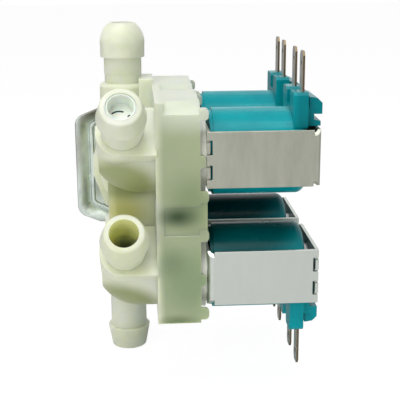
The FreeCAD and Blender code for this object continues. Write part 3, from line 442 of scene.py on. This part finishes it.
# The foot of the upright outlet is a round pad: what stands outside it is taken away, up to the boss.
pad_radius, tube_radius, past_block = 0.00935, 0.00725, 0.0142
pad_foot, pad_top, over_block = 0.0364, 0.0416, 0.0450
upright_outlet, boss_side = (-0.0015, -0.03995, 0), (0.00465, 0, 0)
bm = bmesh.new()
corners = [bm.verts.new((radius, 0, height)) for radius, height in
           ((tube_radius, over_block), (tube_radius, pad_top), (0.0083, 0.0415), (0.0090, 0.0410),
            (pad_radius, 0.0401), (pad_radius, pad_foot), (past_block, pad_foot), (past_block, over_block))]
full_turn(bm, zip(corners, corners[1:] + corners[:1]), steps=72)
bmesh.ops.translate(bm, vec=upright_outlet, verts=bm.verts)
bmesh.ops.bisect_plane(bm, geom=list(bm.verts) + list(bm.edges) + list(bm.faces), dist=1e-7,
                       plane_co=boss_side, plane_no=(1, 0, 0), clear_outer=True)
close_ends(bm)
cut_away(moulding, bm)
break_edges(moulding, width=0.00035)


# Web between the two front housings: a low wall of the same moulding, a little behind their fronts, which
# carries the painted deep-green shadow of the gap between them. Its edges are round, as the mould leaves
# them.
def new_piece(name, bm, material, place=None):
    """Makes a piece of the valve from a finished bmesh; place moves it to where it stands."""
    merge_and_face_out(bm)
    if place:
        bmesh.ops.transform(bm, matrix=place, verts=bm.verts)
    mesh = bpy.data.meshes.new(name)
    bm.to_mesh(mesh)
    bm.free()
    return place_piece(name, mesh, material)


web_middle, web_size = (0.0187, -0.0884, -0.0004), (0.0181, 0.0208, 0.0150)
bm = bmesh.new()
bmesh.ops.create_cube(bm, size=1.0,
                      matrix=Matrix.Translation(web_middle) @ Matrix.Diagonal(web_size + (1.0,)))
bmesh.ops.bevel(bm, geom=list(bm.edges), offset=0.0004, offset_type="OFFSET", segments=2, profile=0.5,
                affect="EDGES", material=-1, clamp_overlap=True)
new_piece("housing_web", bm, natural)

# Inlet thread: the G3/4 crests on the spigot, moulded in one with the body. They wind round its root
# in about five and a half turns.
thread_root, thread_crest, thread_pitch = 0.01190, 0.01322, 0.001814
thread_start, thread_turns, steps_in_turn = 0.0026, 5.4, 36
bm = bmesh.new()
corners = [bm.verts.new((radius, thread_start + shift * thread_pitch, 0)) for radius, shift in
           ((thread_root, -0.47), (thread_crest, -0.09), (thread_crest, 0.09), (thread_root, 0.47))]
face = bm.faces.new(corners)
bmesh.ops.spin(bm, geom=corners + list(face.edges) + [face], cent=(0, 0, 0), axis=(0, 1, 0),
               dvec=(0, thread_pitch / steps_in_turn, 0), angle=math.radians(360 * thread_turns),
               steps=int(steps_in_turn * thread_turns), use_merge=False, use_normal_flip=False,
               use_duplicate=False)
close_ends(bm)
new_piece("inlet_thread_crests", bm, natural)


# Mounting bracket: a dish pressed from bright galvanised sheet, with a bead round its floor, held by two
# screws. Painted shade darkens the plating where the wall turns up, most at the top.
def finish_node(name, material):
    """Gives a CAD piece its material in every slot."""
    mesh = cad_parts[name].data
    if not mesh.materials:
        mesh.materials.append(material)
    for index in range(len(mesh.materials)):
        mesh.materials[index] = material


zinc, shader = new_material("bright_zinc", roughness=0.30, metallic=1.0)
cloudy(zinc, shader, srgb(226, 236, 230), srgb(200, 208, 202), scale=120.0, rough=(0.24, 0.40))
# Painted shade inside the dish: dark on its upper wall and a little darker on its side walls.
paint_spot_tint_and_light(zinc, shader, (-8, -4, 27), (32, 9, 13), srgb(100, 98, 86), edge=0.3, amount=0.95)
paint_spot_tint_and_light(zinc, shader, (-26, -4, 8), (6, 8, 22), srgb(150, 146, 136), edge=0.3, amount=0.8)
paint_spot_tint_and_light(zinc, shader, (26, -4, 8), (6, 8, 22), srgb(156, 152, 144), edge=0.3, amount=0.8)
grained(zinc, shader, scale=400.0, strength=0.06)
sheet_thickness, dish_depth, bead_height = 0.0008, 0.0052, 0.0008
sheet_middle = -sheet_thickness / 2
floor_side, floor_shoulder = 0.0182, 0.01875
floor_narrow, floor_top = 0.0106, 0.0222
rim_side, rim_top = 0.02338, 0.02548
spigot_hole, screw_hole, fixing_hole = 0.01335, 0.00198, 0.00175
bm = bmesh.new()
shoulders, outline = [], []
for side, up in ((1, -1), (1, 1), (-1, 1), (-1, -1)):
    shoulder = bm.verts.new((floor_side * side, sheet_middle, floor_shoulder * up))
    top = bm.verts.new((floor_narrow * side, sheet_middle, floor_top * up))
    shoulders.append(shoulder)
    outline += [top, shoulder] if side * up < 0 else [shoulder, top]
bm.faces.new(outline)
bmesh.ops.bevel(bm, geom=shoulders, offset=0.0025, offset_type="OFFSET", segments=5, profile=0.5,
                affect="VERTICES", material=-1)
grown = bmesh.ops.extrude_edge_only(bm, edges=list(bm.edges))["geom"]
rim = [item for item in grown if isinstance(item, bmesh.types.BMVert)]
bmesh.ops.translate(bm, vec=(0, -dish_depth, 0), verts=rim)
bmesh.ops.scale(bm, vec=(rim_side / floor_side, 1, rim_top / floor_top), verts=rim)
dish_floor = max(bm.faces, key=lambda face: face.calc_area())
for width, lift in ((0.0005, 0), (0.0005, -bead_height), (0.0008, 0), (0.0005, bead_height)):
    bmesh.ops.inset_region(bm, faces=[dish_floor], thickness=width, depth=0, use_boundary=True,
                           use_even_offset=True)
    bmesh.ops.translate(bm, vec=(0, lift, 0), verts=list(dish_floor.verts))
inner = list(dish_floor.edges)
bmesh.ops.delete(bm, geom=[dish_floor], context="FACES_ONLY")
for x, z, radius, segments in (
        (0, 0, spigot_hole, 64), (0, 0.0156, screw_hole, 24), (0, -0.0156, screw_hole, 24),
        (-0.0134, 0.0146, fixing_hole, 24), (0.0134, -0.0146, fixing_hole, 24)):
    upright = Matrix.Translation((x, sheet_middle, z)) @ Matrix.Rotation(math.radians(90), 4, "X")
    hole = bmesh.ops.create_circle(bm, segments=segments, radius=radius, cap_ends=False, matrix=upright)
    inner += list({edge for vertex in hole["verts"] for edge in vertex.link_edges})
bmesh.ops.triangle_fill(bm, use_beauty=True, use_dissolve=False, edges=inner, normal=(0, -1, 0))
dish = new_piece("bracket_pressing", bm, zinc)
fold = dish.modifiers.new("folds", "BEVEL")
fold.width = 0.00045
fold.segments = 3
fold.limit_method = "ANGLE"
fold.angle_limit = math.radians(22)
sheet = dish.modifiers.new("sheet", "SOLIDIFY")
sheet.thickness = sheet_thickness
sheet.offset = 0
sheet.use_even_offset = True
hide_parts("mounting_bracket")
finish_node("bracket_screws", zinc)

# Inlet pieces: a strainer of pale plastic with a fine gauze in its windows, and the rubber flow
# washer in its cage behind it. They are pushed into the spigot by hand.
white_plastic, shader = new_material("white_plastic", roughness=0.4)
cloudy(white_plastic, shader, srgb(232, 232, 224), srgb(218, 220, 208), scale=80.0)
grained(white_plastic, shader, scale=800.0, strength=0.1)
rubber, shader = new_material("black_rubber", roughness=0.7)
cloudy(rubber, shader, srgb(44, 44, 46), srgb(30, 30, 32), scale=150.0)
grained(rubber, shader, scale=1200.0, strength=0.2)
finish_node("inlet_strainer", white_plastic)
finish_node("flow_washer_cage", white_plastic)
finish_node("flow_washer", rubber)
gauze_radius, gauze_start = 0.0080, 0.0021
mesh_opening, mesh_rows, wire_thickness = 0.00062, 11, 0.00016
bm = bmesh.new()
bmesh.ops.create_circle(bm, segments=60, radius=gauze_radius, cap_ends=False)
last_ring = list(bm.edges)
for _ in range(mesh_rows):
    grown = bmesh.ops.extrude_edge_only(bm, edges=last_ring)["geom"]
    last_ring = [item for item in grown if isinstance(item, bmesh.types.BMEdge)]
    bmesh.ops.translate(bm, vec=(0, 0, mesh_opening),
                        verts=[item for item in grown if isinstance(item, bmesh.types.BMVert)])
bmesh.ops.wireframe(bm, faces=bm.faces, thickness=wire_thickness, offset=0, use_replace=True,
                    use_boundary=True, use_even_offset=True)
new_piece("strainer_gauze", bm, white_plastic,
          Matrix.Translation((0, gauze_start, 0)) @ Matrix.Rotation(math.radians(-90), 4, "X"))

# Outlet restrictor: a disc with a curved slit and a small hole, and a short sleeve that holds it
# down in the upper front outlet. Both are moulded in pale plastic and pushed in.
disc_plastic, shader = new_material("disc_plastic", roughness=0.38)
cloudy(disc_plastic, shader, srgb(238, 240, 232), srgb(226, 230, 218), scale=120.0)
grained(disc_plastic, shader, scale=800.0, strength=0.06)
shader.inputs["Subsurface Weight"].default_value = 0.4
shader.inputs["Subsurface Scale"].default_value = 0.004
finish_node("outlet_restrictor", disc_plastic)
outlet_start = Matrix.Translation((outlet_x / 1000, outlet_y / 1000, upper_axis / 1000))
front_outlet = outlet_start @ Matrix.Rotation(outlet_tilt, 4, "X")
cap_radius, cap_back, cap_face = 0.00518, 0.02590, 0.02860
bm = bmesh.new()
corners = [bm.verts.new((radius, 0, reach)) for radius, reach in
           ((0, cap_back), (cap_radius, cap_back), (cap_radius, 0.03300), (0.00490, 0.03335),
            (0.00456, 0.03330), (0.00430, 0.03290), (0.00418, 0.02900), (0.00396, cap_face), (0, cap_face))]
full_turn(bm, zip(corners, corners[1:]), steps=64)
new_piece("restrictor_cap", bm, disc_plastic, front_outlet)
# Painted shade: the slit and the hole are not cut; dark pieces a hair proud of the cap's face stand for
# them.
slit_bend, slit_sweep = 0.0036, math.radians(66)
shade_piece_back, shade_piece_face = 0.02840, 0.02863
back_half_width, face_half_width = 0.00034, 0.00028
slit_place, hole_place = (-0.0006, -0.0026, 0), (0.0028, -0.0010, 0.02851)
bm = bmesh.new()
corners = [bm.verts.new((slit_bend + across, 0, height)) for across, height in
           ((-back_half_width, shade_piece_back), (back_half_width, shade_piece_back),
            (face_half_width, shade_piece_face), (-face_half_width, shade_piece_face))]
face = bm.faces.new(corners)
bmesh.ops.spin(bm, geom=corners + list(face.edges) + [face], cent=(0, 0, 0), axis=(0, 0, 1), dvec=(0, 0, 0),
               angle=slit_sweep, steps=14, use_merge=False, use_normal_flip=False, use_duplicate=False)
close_ends(bm)
bmesh.ops.transform(bm, matrix=Matrix.Translation(slit_place) @ Matrix.Rotation(slit_sweep, 4, "Z"),
                    verts=bm.verts)
bmesh.ops.create_cone(bm, cap_ends=True, segments=24, radius1=0.00070, radius2=0.00066, depth=0.00024,
                      matrix=Matrix.Translation(hole_place))
new_piece("restrictor_slit_painted_shade", bm, rubber, front_outlet)

# Solenoids: teal moulded coils in zinc-plated yokes, with tin-plated blades, and the pieces inside
# the guide tube. The yokes are bent from strip and the blades are cut from sheet.
teal, shader = new_material("teal_moulding", roughness=0.30)
cloudy(teal, shader, srgb(0, 160, 168), srgb(0, 144, 154), scale=60.0, rough=(0.24, 0.32))
# Painted shade: the coils are darker towards the gap between the upper and the lower ones, where the upper
# coils shade the lower, the back row more than the front, and the upper coils' outer ends are a little
# darker than the rest.
for row, shade in ((front_row, srgb(0, 68, 69)), (back_row, srgb(0, 42, 46))):
    paint_spot_tint_and_light(teal, shader, (42, row, -8), (33, 34, 15), shade, edge=0.4, amount=0.95)
    paint_spot_tint_and_light(teal, shader, (65, row, 38), (9, 24, 18), srgb(0, 126, 134), edge=0.7, amount=1.0)
shader.inputs["Specular IOR Level"].default_value = 0.14
grained(teal, shader, scale=900.0, strength=0.06)
yoke_zinc, shader = new_material("yoke_zinc", roughness=0.42, metallic=1.0)
cloudy(yoke_zinc, shader, srgb(184, 186, 172), srgb(165, 167, 154), scale=60.0, low=0.3, high=0.7,
       stretch=(4.0, 4.0, 1.0), rough=(0.34, 0.42))
# Painted light: the lower yokes are painted paler and bluer than the upper ones.
paint_spot_tint_and_light(yoke_zinc, shader, (45, -60, -30), (60, 90, 28), srgb(206, 212, 207), edge=0.85, amount=0.8)
grained(yoke_zinc, shader, scale=260.0, strength=0.10, stretch=(8.0, 8.0, 1.0))
# The blades' broad faces point along X. Their cut edges face other ways and show bare brass.
broad_face, cut_edge = 0.75, 0.55
tin, shader = new_material("tin_plate", roughness=0.30, metallic=1.0)
plating = cloudy(tin, shader, srgb(212, 212, 206), srgb(188, 188, 182), scale=200.0)
facing = tin.node_tree.nodes.new("ShaderNodeTexCoord")
parts = tin.node_tree.nodes.new("ShaderNodeSeparateXYZ")
along_x = tin.node_tree.nodes.new("ShaderNodeMath")
along_x.operation = "ABSOLUTE"
bare = tin.node_tree.nodes.new("ShaderNodeMapRange")
bare.inputs["From Min"].default_value = broad_face
bare.inputs["From Max"].default_value = cut_edge
brass = tin.node_tree.nodes.new("ShaderNodeMix")
brass.data_type = "RGBA"
brass.inputs["B"].default_value = srgb(112, 98, 76)
links = tin.node_tree.links
links.new(facing.outputs["Normal"], parts.inputs["Vector"])
links.new(parts.outputs["X"], along_x.inputs[0])
links.new(along_x.outputs["Value"], bare.inputs["Value"])
links.new(bare.outputs["Result"], brass.inputs["Factor"])
links.new(plating.outputs["Colour"], brass.inputs["A"])
links.new(brass.outputs["Result"], shader.inputs["Base Color"])
grained(tin, shader, scale=500.0, strength=0.08)
steel, shader = new_material("turned_steel", roughness=0.3, metallic=1.0)
cloudy(steel, shader, srgb(190, 190, 192), srgb(168, 168, 170), scale=150.0)
grained(steel, shader, scale=900.0, strength=0.1, stretch=(1.0, 8.0, 8.0))
copper, shader = new_material("enamelled_copper", roughness=0.3, metallic=1.0)
cloudy(copper, shader, srgb(196, 116, 62), srgb(170, 92, 48), scale=150.0)
grained(copper, shader, scale=900.0, strength=0.2, stretch=(8.0, 1.0, 1.0))
finishes = {
    "diaphragm": rubber, "diaphragm_insert": white_plastic, "bonnet": white_plastic, "plunger": steel,
    "plunger_tip": rubber, "yoke_plate": yoke_zinc, "flux_bushings": steel, "winding": copper}
edged_pieces = (
    ("yoke", yoke_zinc, "yoke_steel", False, 0.00030), ("coil", teal, "coil_plastic", True, 0.00030),
    ("terminals", tin, "tinned_brass", True, 0.00012))
for valve in ("upper_front", "upper_back", "lower_front", "lower_back"):
    for piece, material in finishes.items():
        finish_node(f"{valve}_{piece}", material)
    for piece, material, slot, flatten, width in edged_pieces:
        break_edges(merged_copy(f"{valve}_{piece}", material, flatten), width)
    spring = merged_copy(f"{valve}_spring", steel, False)
    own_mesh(spring)
